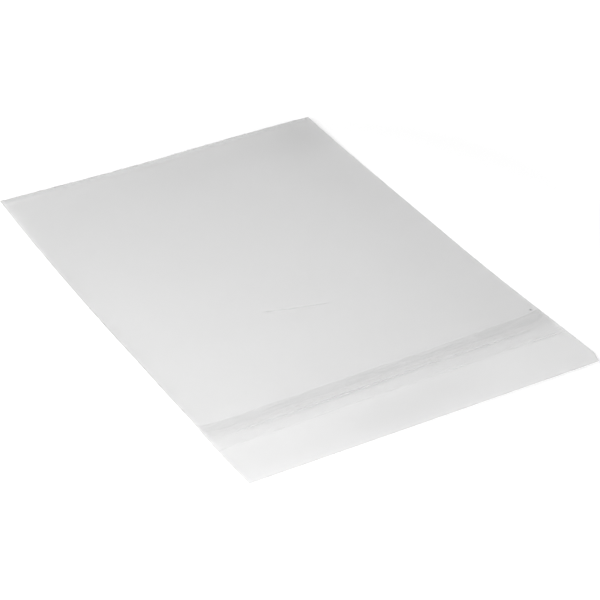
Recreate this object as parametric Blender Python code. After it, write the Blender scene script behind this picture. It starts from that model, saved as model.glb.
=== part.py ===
"""Clear self-seal poly bag, empty, lying flat with its flap open.

One web of clear film is folded once, at the far end, and welded along both sides. The back panel runs
on past the mouth and makes the flap. A strip of adhesive lies across the front panel, inside the mouth,
under a clear release liner whose near edge is left dry as a finger lift.

Frame: the origin is on the floor under the middle of the bag. +X runs across the width, +Y from the
flap to the bottom fold, +Z up. All sizes are in metres.
"""

import math

import bmesh
import bpy

MM = 0.001

# The bag, seen from above
BAG_WIDTH = 225 * MM
POCKET_LENGTH = 308.5 * MM
FLAP_LENGTH = 36.5 * MM
WELD_WIDTH = 2 * MM

# The film, and how far its two panels stand apart inside the pocket
FILM_THICKNESS = 0.05 * MM
POCKET_GAP = 0.4 * MM
POCKET_SHOULDER = 12 * MM

# The closure, on the front panel: the liner's place is measured from the mouth towards the fold
LINER_FROM_MOUTH = 11 * MM
FINGER_LIFT = 6.5 * MM
ADHESIVE_WIDTH = 8 * MM
ADHESIVE_THICKNESS = 0.06 * MM
LINER_THICKNESS = 0.04 * MM
CLOSURE_INSET = 0.8 * MM
CLEARANCE = 0.3 * MM

# The blunt near right corner of the flap
CORNER_ALONG_SIDE = 9 * MM
CORNER_ALONG_EDGE = 3 * MM

# The bag rests on its middle, its two ends curl up off the floor, and the bottom fold is a little wavy
REST_LENGTH = 69 * MM
LIFT_FAR_LEFT = 6.9 * MM
LIFT_FAR_RIGHT = 3.6 * MM
LIFT_NEAR_LEFT = 4.5 * MM
LIFT_NEAR_RIGHT = 1.9 * MM
FOLD_WAVE_HEIGHT = 0.6 * MM
FOLD_WAVE_LENGTH = 245 * MM
FOLD_WAVE_START = 12 * MM

# Spacing of the mesh
ROW_SPACING = 12 * MM
COLUMN_SPACING = 20 * MM
SHOULDER_STEPS = 4
FOLD_STEPS = 6
MERGE_DISTANCE = 0.001 * MM
SHARP_ANGLE = math.radians(30)

# Places that follow from the sizes
HALF_WIDTH = BAG_WIDTH / 2
POCKET_EDGE = HALF_WIDTH - WELD_WIDTH
NEAR_Y = -(POCKET_LENGTH + FLAP_LENGTH) / 2
MOUTH_Y = NEAR_Y + FLAP_LENGTH
FAR_Y = MOUTH_Y + POCKET_LENGTH
FOLD_RADIUS = FILM_THICKNESS + POCKET_GAP / 2
FOLD_Y = FAR_Y - FOLD_RADIUS
LINER_Y = MOUTH_Y + LINER_FROM_MOUTH
ADHESIVE_Y = LINER_Y + FINGER_LIFT
ADHESIVE_LIFT = CLEARANCE
LINER_LIFT = ADHESIVE_LIFT + ADHESIVE_THICKNESS + CLEARANCE


def clamp(value, low, high):
    return max(low, min(high, value))


def steps(start, end, spacing):
    """Evenly spaced values from start to end, both included, about one spacing apart."""
    count = max(1, round(abs(end - start) / spacing))
    return [start + (end - start) * i / count for i in range(count + 1)]


def curl(y, end_y):
    """How far the curl of one end has come at y: 0 on the resting patch, 1 at that end."""
    rest_y = math.copysign(REST_LENGTH / 2, end_y)
    return clamp((y - rest_y) / (end_y - rest_y), 0, 1) ** 2


def back_bottom(x, y):
    """Height of the bag's underside over the floor."""
    right = (x / HALF_WIDTH + 1) / 2
    wave = FOLD_WAVE_HEIGHT * math.sin(math.tau * (x - FOLD_WAVE_START) / FOLD_WAVE_LENGTH)
    far = LIFT_FAR_LEFT * (1 - right) + LIFT_FAR_RIGHT * right + wave
    near = LIFT_NEAR_LEFT * (1 - right) + LIFT_NEAR_RIGHT * right
    return far * curl(y, FAR_Y) + near * curl(y, NEAR_Y)


def pocket_gap(x):
    """Gap between the two panels: none at the side welds, full past the shoulder beside each weld."""
    along = clamp((POCKET_EDGE - abs(x)) / POCKET_SHOULDER, 0, 1)
    return POCKET_GAP * along * along * (3 - 2 * along)


def back_top(x, y):
    return back_bottom(x, y) + FILM_THICKNESS


def front_bottom(x, y):
    return back_top(x, y) + pocket_gap(x)


def front_top(x, y):
    return front_bottom(x, y) + FILM_THICKNESS


def column_places():
    """Places across the width: close together on the shoulders and the welds, wide apart between them."""
    full = POCKET_EDGE - POCKET_SHOULDER
    side = steps(full, POCKET_EDGE, POCKET_SHOULDER / SHOULDER_STEPS)[1:] + [HALF_WIDTH]
    return [-x for x in reversed(side)] + steps(-full, full, COLUMN_SPACING) + side


def pocket_rows():
    """Places along the pocket, from the mouth to the start of the bottom fold."""
    near = steps(MOUTH_Y, -REST_LENGTH / 2, ROW_SPACING)
    middle = steps(-REST_LENGTH / 2, REST_LENGTH / 2, ROW_SPACING)
    far = steps(REST_LENGTH / 2, FOLD_Y, ROW_SPACING)
    return near + middle[1:] + far[1:]


def add_grid(mesh, columns, rows, height):
    """Rows of vertices, each vertex at height(x, y)."""
    return [[mesh.verts.new((x, y, height(x, y))) for x in columns] for y in rows]


def add_faces(mesh, grid):
    """A face between each four neighbours of a grid."""
    for low, high in zip(grid, grid[1:]):
        for i in range(len(low) - 1):
            mesh.faces.new((low[i], low[i + 1], high[i + 1], high[i]))


def add_fold(mesh, columns, lower, upper, reach):
    """Rows of vertices round the bottom fold, from one surface of the back panel to the same of the front."""
    rows = []
    for step in range(1, FOLD_STEPS):
        turn = math.pi * step / FOLD_STEPS
        row = []
        for x in columns:
            low = lower(x, FOLD_Y)
            high = upper(x, FOLD_Y)
            y = FOLD_Y + reach(x) * math.sin(turn)
            z = low + (high - low) * (1 - math.cos(turn)) / 2
            row.append(mesh.verts.new((x, y, z)))
        rows.append(row)
    return rows


def close_up(mesh):
    """Merges the vertices that meet along seams and turns all faces outwards."""
    bmesh.ops.remove_doubles(mesh, verts=mesh.verts, dist=MERGE_DISTANCE)
    bmesh.ops.recalc_face_normals(mesh, faces=mesh.faces)


def cut_corner(mesh):
    """Takes the tip off the flap's near right corner and closes the cut."""
    cut = bmesh.ops.bisect_plane(
        mesh,
        geom=mesh.verts[:] + mesh.edges[:] + mesh.faces[:],
        plane_co=(HALF_WIDTH, NEAR_Y + CORNER_ALONG_SIDE, 0),
        plane_no=(CORNER_ALONG_SIDE, -CORNER_ALONG_EDGE, 0),
        clear_outer=True,
    )
    rim = [item for item in cut["geom_cut"] if isinstance(item, bmesh.types.BMEdge)]
    bmesh.ops.edgeloop_fill(mesh, edges=rim)


def make_object(name, mesh, material):
    data = bpy.data.meshes.new(name)
    mesh.to_mesh(data)
    mesh.free()
    data.materials.append(material)
    data.shade_smooth()
    data.set_sharp_from_angle(angle=SHARP_ANGLE)
    piece = bpy.data.objects.new(name, data)
    bpy.context.scene.collection.objects.link(piece)


def make_material(name, colour, roughness, alpha):
    material = bpy.data.materials.new(name)
    material.use_nodes = True
    shader = material.node_tree.nodes["Principled BSDF"]
    shader.inputs["Base Color"].default_value = (*colour, 1)
    shader.inputs["Roughness"].default_value = roughness
    shader.inputs["Metallic"].default_value = 0
    shader.inputs["Alpha"].default_value = alpha
    return material


def build_film():
    """The folded and welded web: back panel with flap, bottom fold and front panel, round an open pocket."""
    mesh = bmesh.new()
    columns = column_places()
    inside = columns[1:-1]
    flap = steps(NEAR_Y, MOUTH_Y, ROW_SPACING)
    body = pocket_rows()

    # Outer skin, from the flap's free edge along the underside, round the fold and back to the mouth
    flap_bottom = add_grid(mesh, columns, flap, back_bottom)
    bottom = add_grid(mesh, columns, body, back_bottom)
    top = add_grid(mesh, columns, body, front_top)
    outer_fold = add_fold(mesh, columns, back_bottom, front_top, lambda x: FOLD_RADIUS)
    add_faces(mesh, flap_bottom)
    add_faces(mesh, bottom + outer_fold + top[::-1])

    # Inner skin of the pocket, which narrows to nothing at the side welds
    pocket_floor = add_grid(mesh, inside, body, back_top)
    pocket_roof = add_grid(mesh, inside, body, front_bottom)
    inner_fold = add_fold(mesh, inside, back_top, front_bottom, lambda x: pocket_gap(x) / 2)
    add_faces(mesh, pocket_floor + inner_fold + pocket_roof[::-1])

    # Upper side of the flap, its free edge, and the front panel's cut edge at the mouth
    flap_top = add_grid(mesh, columns, flap, back_top)
    mouth_edge = [flap_top[-1][0]] + pocket_roof[0] + [flap_top[-1][-1]]
    add_faces(mesh, flap_top)
    add_faces(mesh, [flap_bottom[0], flap_top[0]])
    add_faces(mesh, [mouth_edge, top[0]])

    # Side edges: the flap is one film thick, and the weld two
    for side in (0, -1):
        seam = [row[0] for row in add_grid(mesh, [columns[side]], body, back_top)]
        add_faces(mesh, [[row[side] for row in flap_bottom], [row[side] for row in flap_top]])
        add_faces(mesh, [[row[side] for row in bottom], seam, [row[side] for row in top]])
        mesh.faces.new([bottom[-1][side], *(row[side] for row in outer_fold), top[-1][side], seam[-1]])

    close_up(mesh)
    cut_corner(mesh)
    film = make_material("clear polyethylene film", (0.86, 0.87, 0.88), 0.15, 0.25)
    make_object("bag_film", mesh, film)


def build_strip(name, near_y, width, lift, thickness, material):
    """A thin strip across the bag that follows the front panel, lift above it."""
    mesh = bmesh.new()
    reach = HALF_WIDTH - CLOSURE_INSET
    columns = sorted({clamp(x, -reach, reach) for x in column_places()})
    rows = steps(near_y, near_y + width, ROW_SPACING)
    under = add_grid(mesh, columns, rows, lambda x, y: front_top(x, y) + lift)
    over = add_grid(mesh, columns, rows, lambda x, y: front_top(x, y) + lift + thickness)
    add_faces(mesh, under)
    add_faces(mesh, over)
    for edge in (0, -1):
        add_faces(mesh, [under[edge], over[edge]])
        add_faces(mesh, [[row[edge] for row in under], [row[edge] for row in over]])
    close_up(mesh)
    make_object(name, mesh, material)


def build_adhesive():
    """The sticky strip that closes the bag."""
    glue = make_material("clear acrylic adhesive", (0.72, 0.73, 0.74), 0.3, 0.4)
    build_strip("adhesive_strip", ADHESIVE_Y, ADHESIVE_WIDTH, ADHESIVE_LIFT, ADHESIVE_THICKNESS, glue)


def build_liner():
    """The liner over the adhesive: it ends level with the adhesive on its far side, and is dry on its near one."""
    liner = make_material("clear polypropylene liner", (0.8, 0.81, 0.82), 0.12, 0.3)
    build_strip("release_liner", LINER_Y, FINGER_LIFT + ADHESIVE_WIDTH, LINER_LIFT, LINER_THICKNESS, liner)


def main():
    for item in list(bpy.data.objects):
        bpy.data.objects.remove(item, do_unlink=True)
    build_film()
    build_adhesive()
    build_liner()


main()
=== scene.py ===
"""Looks of a clear self-seal poly bag that lies flat, with its flap open, on a white studio table.

The bag is one folded and side-welded film, modelled as the thin closed shell it is, with an adhesive
strip and a release liner on its front panel. Lengths are in metres unless a name ends in _mm.
"""

import math

import bmesh
import bpy
from mathutils import Euler, Matrix, Vector, noise


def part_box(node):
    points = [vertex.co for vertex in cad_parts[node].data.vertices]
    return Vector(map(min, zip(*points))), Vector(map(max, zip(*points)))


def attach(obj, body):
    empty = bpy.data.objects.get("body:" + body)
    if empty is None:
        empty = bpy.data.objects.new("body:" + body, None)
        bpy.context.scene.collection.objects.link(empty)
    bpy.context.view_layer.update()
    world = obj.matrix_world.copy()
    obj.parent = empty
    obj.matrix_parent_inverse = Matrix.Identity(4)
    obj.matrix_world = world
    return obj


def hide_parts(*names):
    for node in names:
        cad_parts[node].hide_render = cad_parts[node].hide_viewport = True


bl_info = {
    "name": "Clear Self-Seal Poly Bag",
    "version": (1, 0, 0),
    "blender": (4, 5, 0),
    "location": "3D View > Sidebar > Poly Bag",
    "description": "Builds a flat clear poly bag with a flap, an adhesive strip and a release liner",
    "category": "Object",
}

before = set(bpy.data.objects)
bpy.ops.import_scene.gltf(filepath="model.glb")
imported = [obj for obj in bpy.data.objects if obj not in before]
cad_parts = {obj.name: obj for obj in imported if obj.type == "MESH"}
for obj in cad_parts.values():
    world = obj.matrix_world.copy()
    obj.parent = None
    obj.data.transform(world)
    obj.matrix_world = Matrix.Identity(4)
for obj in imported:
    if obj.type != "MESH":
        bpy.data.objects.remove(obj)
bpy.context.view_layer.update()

MM = 0.001
MERGE_DISTANCE = 0.001 * MM
SHARP_ANGLE = math.radians(30)
FOLD_STEPS = 10
STRIP_STEPS = 12
TABLE_RADIUS = 6
TABLE_DROP = 0.05 * MM
WHITE = (1, 1, 1, 1)
# Pale haze: the colour of the painted highlights at the cut edges and the crease's glints, and of the paler
# haze in the crease and the smears
PALE_HAZE_AND_HIGHLIGHT = (0.95, 0.95, 0.95, 1)

# Sizes of the patterns in the film and in the closure
FLECK = 6.25 * MM
FINE_FLECK = 2.381 * MM
WANDER_STEP = 7.69 * MM
STREAK_LENGTH = 22.22 * MM
STREAK_WIDTH = 1.923 * MM

# Values that the film's and the liner's meshes hand to their materials
FILM_MARKS = ("rim_mm", "underside", "tone", "front", "mouth_highlight_line")
LINER_MARKS = ("rim_mm", "shade_line", "highlight_line")

# Small marks on the front panel, seen from above, in millimetres from the origin: start, end and width.
# Each faint mark also has its haze.
FAINT_MARKS_MM = (
    ((-39, -16.5), (-30.5, -21.5), 0.7, 0.05),
    ((-25, 43.5), (-24.5, 40.5), 0.8, 0.13),
    ((-51.6, 80.2), (-50.9, 81.3), 0.8, 0.16),
)
LIGHT_MARKS_MM = (
    ((-1, -2), (-3, -10), 0.9),
    ((10.5, -41), (16, -44.5), 0.7),
)
SPECK_MM = ((107.6, -104.8), (108.3, -106.7), 0.7)

film_low, film_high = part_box("bag_film")


def length(name, default_mm, description):
    """A length property whose default is given in millimetres."""
    return bpy.props.FloatProperty(
        name=name, description=description, default=default_mm * MM, unit="LENGTH", precision=5
    )


def colour(name, default, description):
    """A colour property that holds an sRGB hex value."""
    return bpy.props.StringProperty(name=name, description=description, default=default)


def share(name, default, description):
    """A plain number from 0 to 1."""
    return bpy.props.FloatProperty(
        name=name, description=description, default=default, min=0, max=1, subtype="FACTOR"
    )


class BagShape(bpy.types.PropertyGroup):
    """Sizes of the bag that its outer box doesn't give."""

    film: length("Film thickness", 0.05, "Thickness of one layer of film")
    gap: length("Pocket gap", 0.4, "Gap between the panels of the empty pocket")
    flap: length("Flap", 36.5, "From the flap's free edge to the mouth")
    weld: length("Weld", 2, "Width of each side weld")
    bead: length("Weld bead", 0.03, "Height of the bead that the hot knife leaves along the sides")
    bead_width: length("Bead width", 0.9, "Width of that bead")
    shoulder: length("Shoulder", 12, "Distance over which the panels part beside a weld")
    rest: length("Resting length", 69, "Length of the middle that touches the table")
    lift_far_left: length("Far left lift", 6.9, "Height of the far left corner")
    lift_far_right: length("Far right lift", 3.6, "Height of the far right corner")
    lift_near_left: length("Near left lift", 4.5, "Height of the near left corner")
    lift_near_right: length("Near right lift", 1.9, "Height of the near right corner")
    wave: length("Fold wave", 0.6, "Height of the bottom fold's wave")
    wave_length: length("Fold wave length", 245, "Length of the bottom fold's wave")
    wave_start: length("Fold wave start", 12, "Where that wave crosses its middle height")
    corner_side: length("Corner along the side", 9, "Blunt near right corner, along the side")
    corner_edge: length("Corner along the edge", 3, "Blunt near right corner, along the free edge")
    spacing: length("Mesh spacing", 3, "Spacing of the film's mesh")
    corner_out: length("Far left corner", 1.1, "How far the film's far left corner is drawn out")
    corner_up: length("Far left rise", 0.9, "How far that corner is lifted as well")
    side_out: length("Left side", 0.45, "How far the far half of the left side is drawn out")
    near_out: length("Near left corner", 1, "How far the near left corner is drawn out")
    side_wave: length("Right side wave", 0.4, "Depth of the wave along the right side")


class ClosureShape(bpy.types.PropertyGroup):
    """Sizes of the adhesive strip and of the liner over it."""

    from_mouth: length("Liner from the mouth", 11, "From the mouth to the liner's dry edge")
    finger_lift: length("Finger lift", 6.5, "Width of the liner's dry edge")
    adhesive_width: length("Adhesive width", 8, "Width of the adhesive")
    adhesive: length("Adhesive thickness", 0.06, "Thickness of the adhesive")
    liner: length("Liner thickness", 0.04, "Thickness of the liner")
    inset: length("Closure inset", 0.8, "How far both stop short of the bag's sides")
    touch: length("Air gap", 0.02, "Air left between layers that touch")
    bow: length("Bow", 3, "How far both ends of the closure bend towards the fold")
    bow_width: length("Bow width", 20, "Length of each bent end")
    curl: length("Liner curl", 0.15, "How far the liner's dry edge stands up")
    wander: length("Wander", 1.2, "How far both strips stray from a straight line")
    ragged: length("Ragged edge", 0.25, "How far the liner's cut edge strays in fine steps")


class BagLooks(bpy.types.PropertyGroup):
    """Colours and finish of the film, the adhesive and the liner, with the painted shade and highlights on
    the film and the liner.
    """

    haze: colour("Haze", "#b8b8b8", "What the film's haze scatters")
    glue: colour("Adhesive", "#c8c8c8", "What the adhesive scatters")
    front_haze: share("Front haze", 0.012, "Haze of one surface of clear film")
    back_haze: share("Back haze", 0.36, "Haze of the underside, which is scuffed by the table")
    # The dull grey is the colour of the painted shade across the film, and of the dark speck.
    dull: colour("Dull haze", "#707070", "What the haze scatters where the film is rubbed and handled")
    # The mouth's broken line is a painted highlight along the front panel's cut edge.
    mouth_highlight: share("Mouth haze", 0.32, "Haze of the broken line along the front panel's cut edge")
    # The crease's haze is painted shade.
    crease_shade: share("Crease haze", 0.42, "Haze along the crease")
    crease_start: bpy.props.FloatVectorProperty(
        name="Crease start", description="Where the front panel's crease starts, seen from above", size=2,
        default=(-28.75 * MM, -23.75 * MM), subtype="TRANSLATION", unit="LENGTH",
    )
    crease_end: bpy.props.FloatVectorProperty(
        name="Crease end", description="Where that crease ends", size=2,
        default=(12.5 * MM, -36.25 * MM), subtype="TRANSLATION", unit="LENGTH",
    )
    # The fold's haze and the edges' broken lines are painted shade.
    fold_shade: share("Fold haze", 0.03, "Haze of each surface near the bottom fold")
    edge_line_shade: share("Edge haze", 0.08, "Haze of the fine broken lines along the film's edges")
    glue_haze: share("Adhesive haze", 0.036, "Haze of one surface of the adhesive")
    liner_haze: share("Liner haze", 0.012, "Haze of one surface of the liner")
    # The liner's edge haze makes a painted highlight on its cut edge and painted shade beside it.
    liner_edge_shade_and_highlight: share("Liner edge", 0.22, "Haze of the broken line along the liner's cut edge")
    film_roughness: share("Film roughness", 0.2, "Roughness of the film's gloss")
    liner_roughness: share("Liner roughness", 0.12, "Roughness of the liner's gloss")
    glue_streaks: share("Adhesive streaks", 0.6, "How much the adhesive's haze varies in streaks")
    liner_streaks: share("Liner streaks", 0.5, "How much the liner's haze varies in streaks")
    speck_haze: share("Speck", 0.9, "Haze of the dark speck near the right side")
    smear: share("Light smear", 0.2, "How much paler the haze is in the light smears")
    # The light flecks are painted glints beside the crease.
    fleck_glint: share("Flecks", 0.14, "Haze of the light flecks beside the crease")
    crease_pale: share("Crease paleness", 0.7, "How much paler the crease's haze is")


class BagTones(bpy.types.PropertyGroup):
    """How much greyer the film's haze is in each region, from 0 to 1: mostly painted shade that follows the
    light, with some uneven tone.
    """

    # flap and flap_middle are painted shade, greyest at the flap's left; flap_patches is uneven tone.
    flap: share("Flap", 0.32, "Handled flap, fading towards its right end")
    flap_middle: share("Flap's middle", 0.26, "Middle of the flap")
    flap_patches: share("Flap's patches", 0.2, "Soft patches on the flap")
    flap_clear: share("Flap's clearness", 0.07, "How much clearer the whole flap is")
    # right, far, far_right and near are painted shade that shapes the fall of the light across the body;
    # clouds is uneven tone.
    right: share("Right", 0.17, "Right side of the body")
    far: share("Far end", 0.2, "Far end, right of the middle")
    far_right: share("Far right", 0.25, "Far right corner")
    near: share("Near end", 0.05, "Body near the closure")
    clouds: share("Clouds", 0.08, "Soft unevenness of the body")
    # The mouth strip's greyness is painted shade from the pocket's slack.
    mouth_left: share("Mouth's left", 0.08, "Strip between the mouth and the liner, at its left end")
    mouth_patches: share("Mouth's patches", 0.35, "Blotches on that strip")
    mouth_clear: share("Mouth's clearness", 0.13, "How much clearer that whole strip is")
    # The welds' and the fold's greyness is painted shade along the edges and the bent fold.
    weld_left: share("Left weld", 0.8, "Left side weld")
    weld_right: share("Right weld", 0.25, "Right side weld")
    fold: share("Bottom fold", 0.3, "Bottom fold")
    fold_left: share("Fold's left", 0.45, "Left end of the bottom fold, besides")
    fold_crest: share("Fold's crest", 0.2, "Outermost line of the bottom fold, besides")


class BagStage(bpy.types.PropertyGroup):
    """Camera, table and light."""

    eye: bpy.props.FloatVectorProperty(
        name="Camera", description="Place of the camera", default=(-0.5072, -1.0029, 0.7032),
        subtype="TRANSLATION", unit="LENGTH", precision=4,
    )
    yaw: bpy.props.FloatProperty(
        name="Camera yaw", description="Turn of the view from +Y towards +X",
        default=math.radians(27.30), subtype="ANGLE",
    )
    pitch: bpy.props.FloatProperty(
        name="Camera pitch", description="Angle of the view below level",
        default=math.radians(32.53), subtype="ANGLE",
    )
    roll: bpy.props.FloatProperty(
        name="Camera roll", description="Dip of the view's right side",
        default=math.radians(2.62), subtype="ANGLE",
    )
    lens: bpy.props.FloatProperty(
        name="Lens", description="Focal length on a 36 mm sensor, in millimetres", default=131.34
    )
    table: colour("Table", "#f0f0f0", "White laminate of the table")
    glow: share("Table glow", 0.28, "Light added to the table where the camera sees it")
    key: bpy.props.FloatProperty(
        name="Softbox", description="Power of the softbox at the near left", default=5.9, unit="POWER"
    )
    softbox: bpy.props.FloatProperty(
        name="Softbox size", description="Side of the softbox", default=0.4, unit="LENGTH"
    )
    softbox_place: bpy.props.FloatVectorProperty(
        name="Softbox place", description="Place of the softbox, which faces the origin",
        default=(-0.52, -0.25, 0.5), subtype="TRANSLATION", unit="LENGTH",
    )
    glow_start: bpy.props.FloatProperty(
        name="Glow start", description="From here on the table's glow grows", default=0.2, unit="LENGTH"
    )
    glow_full: bpy.props.FloatProperty(
        name="Glow end", description="From here on the table is plain white", default=0.32, unit="LENGTH"
    )
    sky_low: share("Walls", 0.75, "Brightness of the studio's walls")
    sky_high: share("Ceiling", 0.05, "Brightness of the studio's ceiling")


def linear(hex_colour):
    """An sRGB hex value as linear red, green and blue, with full alpha."""
    parts = [int(hex_colour[i:i + 2], 16) / 255 for i in (1, 3, 5)]
    return (*[p / 12.92 if p <= 0.04045 else ((p + 0.055) / 1.055) ** 2.4 for p in parts], 1)


def clamp(value, low, high):
    return max(low, min(high, value))


def smooth(value):
    """A soft step from 0 to 1."""
    t = clamp(value, 0, 1)
    return t * t * (3 - 2 * t)


def ramp(place, start_mm, end_mm):
    """A soft step over a distance given in millimetres: 0 at its start and 1 at its end."""
    return smooth((place / MM - start_mm) / (end_mm - start_mm))


def ripple(x, y, seed, size):
    """Soft unevenness between about -0.5 and 0.5, with humps about one size apart."""
    return noise.noise(Vector((x / size, y / size, seed)))


def steps(start, end, spacing):
    """Evenly spaced values from start to end, both included, about one spacing apart."""
    count = max(1, round(abs(end - start) / spacing))
    return [start + (end - start) * i / count for i in range(count + 1)]


class Bag:
    """The bag's surfaces as heights over the table, from the same sizes as the solids."""

    def __init__(self):
        self.s = s = bpy.context.scene.bag_shape
        self.tones = bpy.context.scene.bag_tones
        self.half = film_high.x
        self.near = film_low.y
        self.far = film_high.y
        self.mouth = self.near + s.flap
        self.radius = s.film + s.gap / 2
        self.fold = self.far - self.radius
        self.pocket = self.half - s.weld

    def curl(self, y, end):
        """How far the curl of one end has come at y: 0 on the resting patch, 1 at that end."""
        rest = math.copysign(self.s.rest / 2, end)
        return clamp((y - rest) / (end - rest), 0, 1) ** 2

    def back_bottom(self, x, y):
        s = self.s
        right = (x / self.half + 1) / 2
        wave = s.wave * math.sin(math.tau * (x - s.wave_start) / s.wave_length)
        far = s.lift_far_left * (1 - right) + s.lift_far_right * right + wave
        near = s.lift_near_left * (1 - right) + s.lift_near_right * right
        return far * self.curl(y, self.far) + near * self.curl(y, self.near)

    def bead(self, x):
        """Height of the bead along the side welds: a low hump whose crest runs inside the cut."""
        along = (self.half - abs(x)) / self.s.bead_width
        return self.s.bead * math.sin(math.pi * clamp(along, 0, 1)) ** 2

    def gap(self, x):
        return self.s.gap * smooth((self.pocket - abs(x)) / self.s.shoulder)

    def back_top(self, x, y):
        return self.back_bottom(x, y) + self.s.film

    def front_bottom(self, x, y):
        slack = 1 + 0.5 * ripple(x, y, 5.0, 45 * MM) + 0.25 * ripple(x, y, 9.0, 17 * MM)
        return self.back_top(x, y) + self.gap(x) * slack

    def front_top(self, x, y):
        return self.front_bottom(x, y) + self.s.film + self.bead(x)

    def flap_top(self, x, y):
        return self.back_top(x, y) + self.bead(x) / 2

    def flap_shade(self, x, y):
        """Painted shade on the flap, greyest at its left and in its middle, that evens out the light from
        the near left and fades towards its free edge, with soft slanting patches of uneven tone.
        """
        s = self.tones
        left = s.flap * ramp(x, 95, 15)
        middle = s.flap_middle * ramp(abs(x + 10 * MM), 55, 0)
        fading = 0.3 + 0.7 * ramp(y - self.near, 0, 16)
        slant = x + 0.8 * y
        patches = ripple(slant, y, 2.0, 50 * MM) + ripple(slant, y, 8.0, 22 * MM) / 2
        tone = (left + middle) * fading + s.flap_patches * patches - s.flap_clear
        return tone * ramp(y - self.mouth, 1, -7)

    def body_shade(self, x, y):
        """Painted shade that shapes the fall of the light: greyer towards the right, the far end and the
        closure, with soft clouds of uneven tone.
        """
        s = self.tones
        right = s.right * ramp(x, 40, 100)
        far = (s.far * ramp(x, -40, 20) + s.far_right * ramp(x, 70, 100)) * ramp(y, 115, 160)
        near = s.near * ramp(y, -40, -100)
        clouds = s.clouds * ripple(x, y, 14.0, 60 * MM)
        return (right + far + near + clouds) * ramp(y - self.mouth, 9, 15)

    def mouth_shade(self, x, y):
        """Painted shade in blotches on the strip between the mouth and the liner, where the pocket's slack
        shades it, mostly at the left.
        """
        s = self.tones
        strip = ramp(y - self.mouth, 0, 1) * ramp(y - self.mouth, 13, 10)
        left = s.mouth_left * ramp(x, -20, -80)
        return strip * (left + s.mouth_patches * ripple(x, y, 17.0, 32 * MM) - s.mouth_clear)

    def edge_shade(self, x, y):
        """Greyer along the side welds and the bottom fold, where the film is thick or bent: painted shade at
        its edges and fold.
        """
        s = self.tones
        side = (self.half - abs(x)) / MM
        weld = s.weld_left * math.exp(-side / 2) if x < 0 else s.weld_right * math.exp(-side)
        fold = self.far - y
        along = s.fold + s.fold_left * ramp(x, 0, -90)
        return weld + along * ramp(fold, 7, 3) + s.fold_crest * ramp(fold, 2.5, 0.5)

    def tone(self, x, y, z):
        """How grey the film's haze is, from 0 to 1: mostly painted shade, with some uneven tone."""
        parts = (self.flap_shade, self.body_shade, self.mouth_shade, self.edge_shade)
        return clamp(sum(part(x, y) for part in parts), 0, 1)

    def mouth_highlight_line(self, x, y, z):
        """How strongly the painted highlight along the front panel's cut edge shows at the mouth: mostly at
        the right.
        """
        shows = ramp(x, 80, 92) + 0.6 * ramp(abs(x - 36 * MM), 12, 4)
        return clamp(0.15 + shows + 0.8 * ripple(x, 0, 27.0, 9 * MM), 0, 1)

    def on_front(self, x, y, z):
        """1 for the front panel's upper surface, and 0 for all others."""
        inside = self.front_bottom(x, min(y, self.fold))
        return float(y > self.mouth - 0.01 * MM and z > inside + self.s.film / 4)

    def on_underside(self, x, y, z):
        """1 for the underside of the bag, and 0 for all others."""
        return float(z < self.back_bottom(x, min(y, self.fold)) + self.s.film / 4)

    def pull(self, x, y, z):
        """How far the finished film is out of true: its left side is drawn out, its right side is wavy."""
        s = self.s
        left = smooth(-x / self.half)
        right = smooth(x / self.half)
        corner = ramp(y, 60, 172)
        out = s.corner_out * corner + s.side_out * ramp(y, -40, 10) + s.near_out * ramp(y, -95, -135)
        wave = s.side_wave * math.cos(math.tau * (y - 65 * MM) / (220 * MM))
        return Vector((wave * right - out * left, 0, s.corner_up * corner * left))

    def rim(self, x, y, z):
        """Distance in millimetres from the nearest edge of the bag, seen from above."""
        s = self.s
        right = self.half - x
        near = y - self.near - s.corner_side
        corner = (right * s.corner_side + near * s.corner_edge) / math.hypot(s.corner_side, s.corner_edge)
        return max(0, min(self.half - abs(x), y - self.near, self.far - y, corner)) / MM


def bag_columns(bag):
    """Places across the width: close together on the beads and shoulders, wide apart between them."""
    s = bag.s
    full = bag.pocket - s.shoulder
    shoulder = steps(full, bag.pocket, s.shoulder / 8)[1:]
    weld = steps(bag.half - s.bead_width, bag.half, s.bead_width / 6)
    side = shoulder + [bag.pocket + (s.weld - s.bead_width) / 2] + weld
    return [-x for x in reversed(side)] + steps(-full, full, s.spacing) + side


def add_grid(mesh, columns, rows, height):
    """Rows of vertices, each vertex at height(x, y)."""
    return [[mesh.verts.new((x, y, height(x, y))) for x in columns] for y in rows]


def add_faces(mesh, grid):
    """A face between each four neighbours of a grid."""
    for low, high in zip(grid, grid[1:]):
        for i in range(len(low) - 1):
            mesh.faces.new((low[i], low[i + 1], high[i + 1], high[i]))


def add_fold(mesh, bag, columns, lower, upper, reach):
    """Rows of vertices round the bottom fold, from the back panel's surface to the front panel's."""
    rows = []
    for step in range(1, FOLD_STEPS):
        turn = math.pi * step / FOLD_STEPS
        row = []
        for x in columns:
            low = lower(x, bag.fold)
            high = upper(x, bag.fold)
            y = bag.fold + reach(x) * math.sin(turn)
            row.append(mesh.verts.new((x, y, low + (high - low) * (1 - math.cos(turn)) / 2)))
        rows.append(row)
    return rows


def close_up(mesh):
    """Merges the vertices that meet along seams and turns all faces outwards."""
    bmesh.ops.remove_doubles(mesh, verts=mesh.verts, dist=MERGE_DISTANCE)
    bmesh.ops.recalc_face_normals(mesh, faces=mesh.faces)


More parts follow.
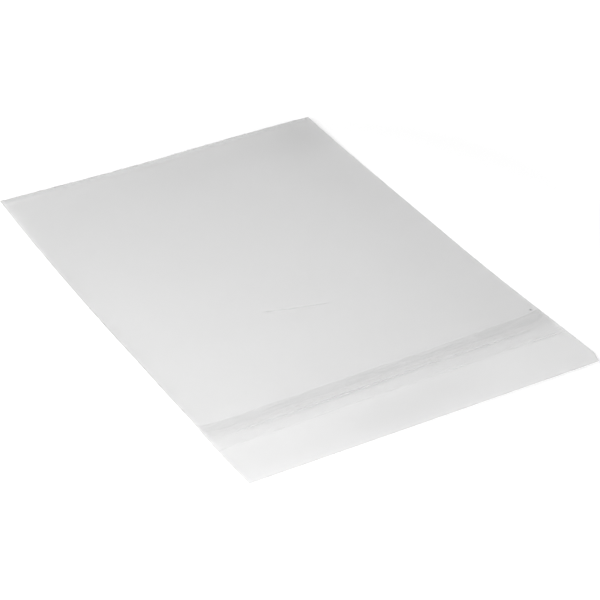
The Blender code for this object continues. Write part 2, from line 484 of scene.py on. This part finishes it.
def film_mesh(bag):
    """The folded and welded web: back panel with flap, bottom fold, and front panel over an open pocket."""
    s = bag.s
    mesh = bmesh.new()
    columns = bag_columns(bag)
    inside = [x for x in columns if abs(x) <= bag.pocket + MERGE_DISTANCE]
    first = columns.index(inside[0])
    last = first + len(inside)
    flap = steps(bag.near, bag.mouth, s.spacing)
    body = steps(bag.mouth, bag.fold, s.spacing)

    # Outer skin, from the flap's free edge along the underside, round the fold and back to the mouth
    flap_bottom = add_grid(mesh, columns, flap, bag.back_bottom)
    bottom = add_grid(mesh, columns, body, bag.back_bottom)
    top = add_grid(mesh, columns, body, bag.front_top)
    outer_fold = add_fold(mesh, bag, columns, bag.back_bottom, bag.front_top, lambda x: bag.radius)
    add_faces(mesh, flap_bottom)
    add_faces(mesh, bottom + outer_fold + top[::-1])

    # Inner skin of the pocket, which narrows to nothing at the side welds
    pocket_floor = add_grid(mesh, inside, body, bag.back_top)
    pocket_roof = add_grid(mesh, inside, body, bag.front_bottom)
    inner_fold = add_fold(mesh, bag, inside, bag.back_top, bag.front_bottom, lambda x: bag.gap(x) / 2)
    add_faces(mesh, pocket_floor + inner_fold + pocket_roof[::-1])

    # Upper side of the flap, its free edge, and the front panel's cut edge at the mouth
    flap_top = add_grid(mesh, columns, flap, bag.flap_top)
    mouth_edge = flap_top[-1][:first] + pocket_roof[0] + flap_top[-1][last:]
    add_faces(mesh, flap_top)
    add_faces(mesh, [flap_bottom[0], flap_top[0]])
    add_faces(mesh, [mouth_edge, top[0]])

    # Side edges: the flap is one film thick, and the weld two
    for side in (0, -1):
        seam = [row[0] for row in add_grid(mesh, [columns[side]], body, bag.flap_top)]
        add_faces(mesh, [[row[side] for row in flap_bottom], [row[side] for row in flap_top]])
        add_faces(mesh, [[row[side] for row in bottom], seam, [row[side] for row in top]])
        mesh.faces.new([bottom[-1][side], *(row[side] for row in outer_fold), top[-1][side], seam[-1]])
    close_up(mesh)
    return mesh


def cut_corner(mesh, bag):
    """Takes the tip off the flap's near right corner and closes the cut."""
    s = bag.s
    cut = bmesh.ops.bisect_plane(
        mesh,
        geom=mesh.verts[:] + mesh.edges[:] + mesh.faces[:],
        plane_co=(bag.half, bag.near + s.corner_side, 0),
        plane_no=(s.corner_side, -s.corner_edge, 0),
        clear_outer=True,
    )
    rim = [item for item in cut["geom_cut"] if isinstance(item, bmesh.types.BMEdge)]
    bmesh.ops.edgeloop_fill(mesh, edges=rim)


def strip_mesh(bag, near_edge, far_edge, height, thickness):
    """A thin strip across the bag between two edges, whose underside is at height(x, y)."""
    mesh = bmesh.new()
    reach = bag.half - bpy.context.scene.bag_closure.inset
    columns = sorted({clamp(x, -reach, reach) for x in bag_columns(bag)})
    under, over = [], []
    for share_along in steps(0, 1, 1 / STRIP_STEPS):
        low, high = [], []
        for x in columns:
            y = near_edge(x) * (1 - share_along) + far_edge(x) * share_along
            z = height(x, y)
            low.append(mesh.verts.new((x, y, z)))
            high.append(mesh.verts.new((x, y, z + thickness)))
        under.append(low)
        over.append(high)
    add_faces(mesh, under)
    add_faces(mesh, over)
    for edge in (0, -1):
        add_faces(mesh, [under[edge], over[edge]])
        add_faces(mesh, [[row[edge] for row in under], [row[edge] for row in over]])
    close_up(mesh)
    return mesh


def make_piece(name, mesh, material, marks):
    """An object of the mesh at the origin, with each mark's value on its vertices, for the material."""
    data = bpy.data.meshes.new(name)
    mesh.to_mesh(data)
    mesh.free()
    for mark, value in marks.items():
        layer = data.attributes.new(mark, "FLOAT", "POINT")
        layer.data.foreach_set("value", [value(*vertex.co) for vertex in data.vertices])
    data.materials.append(material)
    data.shade_smooth()
    data.set_sharp_from_angle(angle=SHARP_ANGLE)
    piece = bpy.data.objects.new(name, data)
    bpy.context.scene.collection.objects.link(piece)
    return piece


class Closure:
    """Where the adhesive and the liner lie on the front panel."""

    def __init__(self, bag):
        self.bag = bag
        self.s = s = bpy.context.scene.bag_closure
        self.liner_y = bag.mouth + s.from_mouth
        self.adhesive_y = self.liner_y + s.finger_lift
        self.far_y = self.adhesive_y + s.adhesive_width

    def bend(self, x, seed):
        """How far the closure's edges leave a straight line: both ends bend towards the fold."""
        ends = clamp((abs(x) - self.bag.half) / self.s.bow_width + 1, 0, 1) ** 2
        return self.s.bow * ends + self.s.wander * ripple(x, 0, seed, 60 * MM)

    def liner_near(self, x):
        return self.liner_y + self.bend(x, 3.0) + self.s.ragged * ripple(x, 0, 21.0, 9 * MM)

    def adhesive_near(self, x):
        return self.adhesive_y + self.bend(x, 3.0)

    def far(self, x):
        return self.far_y + self.bend(x, 4.0)

    def shade_line(self, x, y, z):
        """How dark the painted shade line beside the liner's cut edge is: most left of the middle, elsewhere
        broken.
        """
        strong = ramp(abs(x + 28 * MM), 52, 12)
        middle = ramp(abs(x), 92, 77)
        return middle * clamp(0.15 + 0.6 * strong + 1.2 * ripple(x, 0, 12.0, 7 * MM), 0, 1)

    def highlight_line(self, x, y, z):
        """How much painted highlight the liner's cut edge catches."""
        middle = ramp(abs(x), 100, 88)
        return middle * clamp(0.6 + 1.2 * ripple(x, 0, 33.0, 6 * MM), 0, 1)

    def from_edge(self, x, y, z):
        """Distance in millimetres from the liner's cut edge, over the liner."""
        return max(0, y - self.liner_near(x)) / MM

    def adhesive_height(self, x, y):
        return self.bag.front_top(x, y) + self.s.touch

    def liner_height(self, x, y):
        s = self.s
        on_glue = ramp(y - self.adhesive_near(x), -1, 0)
        dry = clamp((self.adhesive_near(x) - y) / s.finger_lift, 0, 1)
        stand = s.curl * dry ** 2 * (0.7 + 1.2 * ripple(x, 0, 31.0, 14 * MM))
        return self.bag.front_top(x, y) + s.touch + (s.adhesive + s.touch) * on_glue + max(0, stand)


def add_node(tree, kind, settings=None, inputs=None, output=0):
    """Adds a shader node with its settings, sets or links its inputs, and returns one of its outputs."""
    made = tree.nodes.new("ShaderNode" + kind)
    for name, value in (settings or {}).items():
        setattr(made, name, value)
    for name, value in (inputs or {}).items():
        if isinstance(value, bpy.types.NodeSocket):
            tree.links.new(value, made.inputs[name])
        else:
            made.inputs[name].default_value = value
    return made.outputs[output] if made.outputs else None


def new_tree(name):
    """A material with an empty node tree, and that tree."""
    material = bpy.data.materials.new(name)
    material.use_nodes = True
    material.node_tree.nodes.clear()
    return material, material.node_tree


def add_body(tree, haze, haze_colour):
    """Clear plastic: light goes straight through, apart from a haze that scatters it."""
    clear = add_node(tree, "BsdfTransparent")
    dull = add_node(tree, "BsdfDiffuse", None, {"Color": haze_colour})
    return add_node(tree, "MixShader", None, {0: haze, 1: clear, 2: dull})


def add_gloss(tree, body, roughness):
    """The body under a gloss that grows towards a grazing view.

    Gloss follows Schlick's rule for a plastic of index 1.5, with Facing in place of Fresnel, because
    both sides of a film shine and Fresnel turns to a mirror on the far one.
    """
    slope = add_node(tree, "LayerWeight", None, {"Blend": 0.5}, "Facing")
    steep = add_node(tree, "Math", {"operation": "POWER"}, {0: slope, 1: 5})
    mirror = add_node(tree, "Math", {"operation": "MULTIPLY_ADD"}, {0: steep, 1: 0.96, 2: 0.04})
    shine = add_node(tree, "BsdfGlossy", None, {"Color": WHITE, "Roughness": roughness})
    return add_node(tree, "MixShader", None, {0: mirror, 1: body, 2: shine})


def add_mark(tree, place, start, end, width):
    """A mask for a fine mark between two places on the film, seen from above: 1 on its line, 0 beside it."""
    run = Vector(end) - Vector(start)
    inputs = {"Vector": place, "Location": (*start, 0), "Rotation": (0, 0, math.atan2(run.y, run.x))}
    local = add_node(tree, "Mapping", {"vector_type": "TEXTURE"}, inputs)
    along = add_node(tree, "SeparateXYZ", None, {0: local}, "X")
    beside = add_node(tree, "SeparateXYZ", None, {0: local}, "Y")
    half = run.length / 2
    from_middle = add_node(tree, "Math", {"operation": "SUBTRACT"}, {0: along, 1: half})
    reach = add_node(tree, "Math", {"operation": "ABSOLUTE"}, {0: from_middle})
    ends = add_node(
        tree, "MapRange", {"interpolation_type": "SMOOTHSTEP"},
        {"Value": reach, "From Min": half - width, "From Max": half, "To Min": 1, "To Max": 0},
    )
    off_line = add_node(tree, "Math", {"operation": "ABSOLUTE"}, {0: beside})
    line = add_node(
        tree, "MapRange", {"interpolation_type": "SMOOTHSTEP"},
        {"Value": off_line, "From Min": width * 0.3, "From Max": width, "To Min": 1, "To Max": 0},
    )
    return add_node(tree, "Math", {"operation": "MULTIPLY"}, {0: line, 1: ends})


def add_small_mark(tree, place, start_mm, end_mm, width_mm):
    """A mask for a fine mark whose places and width are given in millimetres."""
    return add_mark(tree, place, Vector(start_mm) * MM, Vector(end_mm) * MM, width_mm * MM)


def add_sum(tree, parts):
    """The sum of several values, no more than 1."""
    total = parts[0]
    for part in parts[1:]:
        total = add_node(tree, "Math", {"operation": "ADD", "use_clamp": True}, {0: total, 1: part})
    return total


def add_edge_shade(tree, looks, bag, along, rim, broken):
    """Painted shade: haze of the bottom fold, and of a fine broken line along the film's edges."""
    start = bag.far - 7 * MM
    end = bag.far - 1 * MM
    fold = add_node(
        tree, "MapRange", {"interpolation_type": "SMOOTHSTEP"},
        {"Value": along, "From Min": start, "From Max": end, "To Max": looks.fold_shade},
    )
    line = add_node(
        tree, "MapRange", {"interpolation_type": "SMOOTHSTEP"},
        {"Value": rim, "From Min": 0.3, "From Max": 1.1, "To Min": looks.edge_line_shade, "To Max": 0},
    )
    edge = add_node(tree, "Math", {"operation": "MULTIPLY"}, {0: line, 1: broken})
    return add_sum(tree, [fold, edge])


def add_mouth_highlight(tree, looks, bag, along, front, mouth_highlight_line):
    """The front panel's cut edge at the mouth: where it is, and the haze of its painted highlight, which
    comes and goes.
    """
    start = bag.mouth + 0.5 * MM
    end = bag.mouth + 1.1 * MM
    near_mouth = add_node(
        tree, "MapRange", {"interpolation_type": "SMOOTHSTEP"},
        {"Value": along, "From Min": start, "From Max": end, "To Min": 1, "To Max": 0},
    )
    cut_face = add_node(tree, "Math", {"operation": "MULTIPLY"}, {0: near_mouth, 1: front})
    strength = add_node(tree, "Math", {"operation": "MULTIPLY"}, {0: mouth_highlight_line, 1: looks.mouth_highlight})
    return cut_face, add_node(tree, "Math", {"operation": "MULTIPLY"}, {0: cut_face, 1: strength})


def add_crease(tree, looks, place, flecks):
    """A fine wandering crease, darkened with painted shade, with painted glints in flecks beside it: its
    haze, and how pale that haze is.
    """
    wander = add_node(
        tree, "TexNoise", None, {"Vector": place, "Scale": 1 / WANDER_STEP, "Detail": 1}, "Color"
    )
    offset = add_node(tree, "VectorMath", {"operation": "SUBTRACT"}, {0: wander, 1: (0.5, 0.5, 0.5)})
    small = add_node(tree, "VectorMath", {"operation": "SCALE"}, {0: offset, "Scale": 3 * MM})
    wandering = add_node(tree, "VectorMath", {"operation": "ADD"}, {0: place, 1: small})
    uneven = add_node(
        tree, "MapRange", None,
        {"Value": flecks, "From Min": 0.44, "From Max": 0.6, "To Min": 0.25, "To Max": 1},
    )
    line = add_mark(tree, wandering, looks.crease_start, looks.crease_end, 0.5 * MM)
    crease = add_node(tree, "Math", {"operation": "MULTIPLY"}, {0: line, 1: uneven})
    crease_shade = add_node(tree, "Math", {"operation": "MULTIPLY"}, {0: crease, 1: looks.crease_shade})
    paler = add_node(tree, "Math", {"operation": "MULTIPLY"}, {0: line, 1: looks.crease_pale})

    fine = add_node(tree, "TexNoise", None, {"Vector": place, "Scale": 1 / FINE_FLECK, "Detail": 1}, "Fac")
    sparse = add_node(tree, "MapRange", None, {"Value": fine, "From Min": 0.6, "From Max": 0.64})
    beside = add_mark(tree, place, looks.crease_start, looks.crease_end, 2.2 * MM)
    glint_mask = add_node(tree, "Math", {"operation": "MULTIPLY"}, {0: sparse, 1: beside})
    fleck_glint = add_node(tree, "Math", {"operation": "MULTIPLY"}, {0: glint_mask, 1: looks.fleck_glint})
    return add_sum(tree, [crease_shade, fleck_glint]), add_sum(tree, [glint_mask, paler])


def film_material(looks, bag):
    """Blown polyethylene: clear and glossy, with a rubbed underside, painted shade across it and along its
    edges, fold and crease, painted highlights at the mouth's cut edge and beside the crease, and fine marks.
    """
    material, tree = new_tree("clear polyethylene film, blown")
    place = add_node(tree, "TexCoord", output="Object")
    along = add_node(tree, "SeparateXYZ", None, {0: place}, "Y")
    rim, under, tone, front, mouth_highlight_line = [
        add_node(tree, "Attribute", {"attribute_name": mark}, output="Fac") for mark in FILM_MARKS
    ]
    flecks = add_node(
        tree, "TexNoise", None, {"Vector": place, "Scale": 1 / FLECK, "Detail": 2, "Roughness": 0.6}, "Fac"
    )
    broken = add_node(tree, "MapRange", None, {"Value": flecks, "From Min": 0.46, "From Max": 0.6})

    # The underside is rubbed dull; painted shade darkens a fine broken line along the edges and the bottom
    # fold, and a painted highlight runs along the front panel's cut edge at the mouth
    face = add_node(
        tree, "MapRange", None, {"Value": under, "To Min": looks.front_haze, "To Max": looks.back_haze}
    )
    edges = add_edge_shade(tree, looks, bag, along, rim, broken)
    cut_face, mouth_highlight_haze = add_mouth_highlight(tree, looks, bag, along, front, mouth_highlight_line)

    # A crease with painted shade along it and painted glints in flecks beside it, faint marks and a dark
    # speck, all on the upper surface
    crease_shade, crease_glints_and_paleness = add_crease(tree, looks, place, flecks)
    faint = []
    for *line, mark_haze in FAINT_MARKS_MM:
        mark = add_small_mark(tree, place, *line)
        faint.append(add_node(tree, "Math", {"operation": "MULTIPLY"}, {0: mark, 1: mark_haze}))
    speck = add_small_mark(tree, place, *SPECK_MM)
    speck_haze = add_node(tree, "Math", {"operation": "MULTIPLY"}, {0: speck, 1: looks.speck_haze})
    marks = add_sum(tree, [crease_shade, *faint, speck_haze])
    upper_marks = add_node(tree, "Math", {"operation": "MULTIPLY"}, {0: marks, 1: front})
    upper_glints_and_paleness = add_node(tree, "Math", {"operation": "MULTIPLY"}, {0: crease_glints_and_paleness, 1: front})

    # Light smears, where less of the haze is grey
    light = add_sum(tree, [add_small_mark(tree, place, *line) for line in LIGHT_MARKS_MM])
    smear = add_node(tree, "Math", {"operation": "MULTIPLY"}, {0: light, 1: looks.smear})

    haze = add_sum(tree, [face, edges, mouth_highlight_haze, upper_marks])
    white = add_sum(tree, [cut_face, upper_glints_and_paleness, smear])
    # The haze turns grey with the painted shade across the film, and at the dark speck
    greyness = add_sum(tree, [tone, speck])
    grey = add_node(
        tree, "Mix", {"data_type": "RGBA"}, {0: greyness, 6: linear(looks.haze), 7: linear(looks.dull)}, 2
    )
    # Painted highlights at the mouth's cut edge and beside the crease, and the paler haze of the crease and
    # the smears, turn the haze pale
    scattered = add_node(tree, "Mix", {"data_type": "RGBA"}, {0: white, 6: grey, 7: PALE_HAZE_AND_HIGHLIGHT}, 2)
    whole = add_gloss(tree, add_body(tree, haze, scattered), looks.film_roughness)
    add_node(tree, "OutputMaterial", None, {"Surface": whole})
    return material


def add_streaks(tree, haze_share, streak):
    """Haze in streaks along the strip: haze_share on average, more or less by the share streak of it."""
    place = add_node(tree, "TexCoord", output="Object")
    scale = (1 / STREAK_LENGTH, 1 / STREAK_WIDTH, 1 / STREAK_LENGTH)
    drawn_out = add_node(tree, "Mapping", None, {"Vector": place, "Scale": scale})
    streaks = add_node(
        tree, "TexNoise", None, {"Vector": drawn_out, "Scale": 1, "Detail": 3, "Roughness": 0.55}, "Fac"
    )
    low = haze_share * (1 - streak)
    high = haze_share * (1 + streak)
    return add_node(
        tree, "MapRange", None,
        {"Value": streaks, "From Min": 0.3, "From Max": 0.7, "To Min": low, "To Max": high},
    )


def glue_material(looks):
    """Clear acrylic adhesive, spread in streaks. It has no gloss of its own, for it is stuck down."""
    material, tree = new_tree("clear acrylic adhesive")
    haze = add_streaks(tree, looks.glue_haze, looks.glue_streaks)
    body = add_body(tree, haze, linear(looks.glue))
    add_node(tree, "OutputMaterial", None, {"Surface": body})
    return material


def liner_material(looks):
    """Clear siliconed polypropylene tape whose cut edge shows as a broken line, of painted highlight with
    painted shade beside it.
    """
    material, tree = new_tree("clear polypropylene liner, siliconed")
    rim, dark, light = [
        add_node(tree, "Attribute", {"attribute_name": mark}, output="Fac") for mark in LINER_MARKS
    ]
    uneven = add_streaks(tree, looks.liner_haze, looks.liner_streaks)

    # Painted highlight on the cut edge itself, and painted shade in a line beside it
    cut_edge = add_node(
        tree, "MapRange", {"interpolation_type": "SMOOTHSTEP"},
        {"Value": rim, "From Min": 0.5, "From Max": 0.7, "To Min": 1, "To Max": 0},
    )
    beside = add_node(
        tree, "MapRange", {"interpolation_type": "SMOOTHSTEP"},
        {"Value": rim, "From Min": 0.9, "From Max": 1.2, "To Min": 1, "To Max": 0},
    )
    highlight_edge = add_node(tree, "Math", {"operation": "MULTIPLY"}, {0: cut_edge, 1: light})
    shade_share = add_node(tree, "Math", {"operation": "MULTIPLY"}, {0: dark, 1: looks.liner_edge_shade_and_highlight})
    shade_edge = add_node(tree, "Math", {"operation": "MULTIPLY"}, {0: beside, 1: shade_share})
    highlight_haze = add_node(
        tree, "Math", {"operation": "MULTIPLY"}, {0: highlight_edge, 1: 1.2 * looks.liner_edge_shade_and_highlight}
    )
    haze = add_sum(tree, [uneven, shade_edge, highlight_haze])
    scattered = add_node(
        tree, "Mix", {"data_type": "RGBA"},
        {0: highlight_edge, 6: linear(looks.haze), 7: PALE_HAZE_AND_HIGHLIGHT}, 2,
    )
    whole = add_gloss(tree, add_body(tree, haze, scattered), looks.liner_roughness)
    add_node(tree, "OutputMaterial", None, {"Surface": whole})
    return material


class BagBuildStage(bpy.types.Operator):
    """Adds the white table, the soft light and the camera"""

    bl_idname = "poly_bag.stage"
    bl_label = "Stage"

    def execute(self, context):
        s = context.scene.bag_stage
        bpy.ops.object.select_all(action="DESELECT")
        bpy.ops.mesh.primitive_circle_add(
            vertices=96, radius=TABLE_RADIUS, fill_type="NGON", location=(0, 0, -TABLE_DROP)
        )
        bpy.ops.object.transform_apply()
        table = context.object
        table.name = "studio_table"
        table.data.materials.append(table_material(s))

        lamp_data = bpy.data.lights.new("softbox", "AREA")
        lamp_data.shape = "SQUARE"
        lamp_data.size = s.softbox
        lamp_data.energy = s.key
        lamp = bpy.data.objects.new("softbox", lamp_data)
        lamp.location = s.softbox_place
        lamp.rotation_euler = (-lamp.location).to_track_quat("-Z", "Y").to_euler()
        lamp.visible_camera = False
        lamp.visible_glossy = False
        context.scene.collection.objects.link(lamp)

        camera_data = bpy.data.cameras.new("camera")
        camera_data.lens = s.lens
        camera = bpy.data.objects.new("camera", camera_data)
        camera.location = s.eye
        level = Euler((math.pi / 2 - s.pitch, 0, -s.yaw)).to_matrix()
        camera.rotation_euler = (level @ Matrix.Rotation(-s.roll, 3, "Z")).to_euler()
        context.scene.collection.objects.link(camera)
        context.scene.camera = camera

        light_studio(context.scene, s)
        context.scene.view_settings.view_transform = "Standard"
        context.scene.cycles.transparent_max_bounces = 64
        return {"FINISHED"}


def seen_directly(tree):
    """1 for what the camera sees directly or in gloss or glass, and 0 for other light."""
    mirrored = add_node(
        tree, "Math", {"operation": "MAXIMUM"},
        {0: add_node(tree, "LightPath", output="Is Glossy Ray"),
         1: add_node(tree, "LightPath", output="Is Transmission Ray")},
    )
    seen = add_node(tree, "LightPath", output="Is Camera Ray")
    return add_node(tree, "Math", {"operation": "MAXIMUM"}, {0: seen, 1: mirrored})


def table_material(s):
    """White laminate, whose glow keeps it white where the camera sees it and leaves the bag's shadow."""
    material, tree = new_tree("white laminate, matt")
    place = add_node(tree, "TexCoord", output="Object")
    away = add_node(tree, "VectorMath", {"operation": "LENGTH"}, {0: place}, "Value")
    glow = add_node(
        tree, "MapRange", {"interpolation_type": "SMOOTHSTEP"},
        {"Value": away, "From Min": s.glow_start, "From Max": s.glow_full, "To Min": s.glow, "To Max": 1},
    )
    strength = add_node(tree, "Math", {"operation": "MULTIPLY"}, {0: glow, 1: seen_directly(tree)})
    lit = add_node(tree, "BsdfDiffuse", None, {"Color": linear(s.table)})
    shining = add_node(tree, "Emission", None, {"Strength": strength})
    both = add_node(tree, "AddShader", None, {0: lit, 1: shining})
    add_node(tree, "OutputMaterial", None, {"Surface": both})
    return material


def light_studio(scene, s):
    """A pale studio round the table, plain white where the camera sees it."""
    world = bpy.data.worlds.new("pale studio")
    world.use_nodes = True
    tree = world.node_tree
    tree.nodes.clear()
    direction = add_node(tree, "TexCoord", output="Generated")
    height = add_node(tree, "SeparateXYZ", None, {0: direction}, "Z")
    fading = add_node(
        tree, "MapRange", None,
        {"Value": height, "From Min": 0.5, "From Max": 1, "To Min": s.sky_low, "To Max": s.sky_high},
    )
    walls = add_node(tree, "Background", None, {"Color": WHITE, "Strength": fading})
    white = add_node(tree, "Background", None, {"Color": WHITE, "Strength": 1})
    seen = add_node(tree, "LightPath", output="Is Camera Ray")
    both = add_node(tree, "MixShader", None, {0: seen, 1: walls, 2: white})
    add_node(tree, "OutputWorld", None, {"Surface": both})
    scene.world = world


class BagBuildFilm(bpy.types.Operator):
    """Makes the folded and welded film of the bag, with its open pocket and its flap"""

    bl_idname = "poly_bag.film"
    bl_label = "Film"

    def execute(self, context):
        bag = Bag()
        looks = context.scene.bag_looks
        mesh = film_mesh(bag)
        cut_corner(mesh, bag)
        values = (bag.rim, bag.on_underside, bag.tone, bag.on_front, bag.mouth_highlight_line)
        piece = make_piece("film", mesh, film_material(looks, bag), dict(zip(FILM_MARKS, values)))
        for vertex in piece.data.vertices:
            vertex.co += bag.pull(*vertex.co)
        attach(piece, "root")
        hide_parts("bag_film")
        return {"FINISHED"}


class BagBuildClosure(bpy.types.Operator):
    """Makes the adhesive strip and the release liner on the front panel"""

    bl_idname = "poly_bag.closure"
    bl_label = "Closure"

    def execute(self, context):
        bag = Bag()
        closure = Closure(bag)
        s = closure.s
        looks = context.scene.bag_looks

        glue_mesh = strip_mesh(bag, closure.adhesive_near, closure.far, closure.adhesive_height, s.adhesive)
        glue = make_piece("adhesive", glue_mesh, glue_material(looks), {})
        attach(glue, "root")
        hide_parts("adhesive_strip")

        liner_mesh = strip_mesh(bag, closure.liner_near, closure.far, closure.liner_height, s.liner)
        values = (closure.from_edge, closure.shade_line, closure.highlight_line)
        liner = make_piece("liner", liner_mesh, liner_material(looks), dict(zip(LINER_MARKS, values)))
        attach(liner, "root")
        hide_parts("release_liner")
        return {"FINISHED"}


class BagPanel(bpy.types.Panel):
    """Lists the bag's sizes, finish, stage and build steps"""

    bl_idname = "VIEW3D_PT_poly_bag"
    bl_label = "Poly Bag"
    bl_space_type = "VIEW_3D"
    bl_region_type = "UI"
    bl_category = "Poly Bag"

    def draw(self, context):
        layout = self.layout
        scene = context.scene
        for group_name in GROUPS:
            group = getattr(scene, group_name)
            box = layout.box()
            for name in group.bl_rna.properties.keys():
                if name not in {"rna_type", "name"}:
                    box.prop(group, name)
        for step in BUILD_STEPS:
            layout.operator(step.bl_idname)


BUILD_STEPS = (BagBuildStage, BagBuildFilm, BagBuildClosure)
GROUPS = {
    "bag_shape": BagShape,
    "bag_closure": ClosureShape,
    "bag_looks": BagLooks,
    "bag_tones": BagTones,
    "bag_stage": BagStage,
}


def register():
    for item in (*GROUPS.values(), *BUILD_STEPS, BagPanel):
        bpy.utils.register_class(item)
    for name, group in GROUPS.items():
        setattr(bpy.types.Scene, name, bpy.props.PointerProperty(type=group))


def unregister():
    for name in GROUPS:
        delattr(bpy.types.Scene, name)
    for item in (BagPanel, *reversed(BUILD_STEPS), *reversed(GROUPS.values())):
        bpy.utils.unregister_class(item)


def main():
    register()
    bpy.ops.poly_bag.stage()
    bpy.ops.poly_bag.film()
    bpy.ops.poly_bag.closure()


if __name__ == "__main__":
    main()
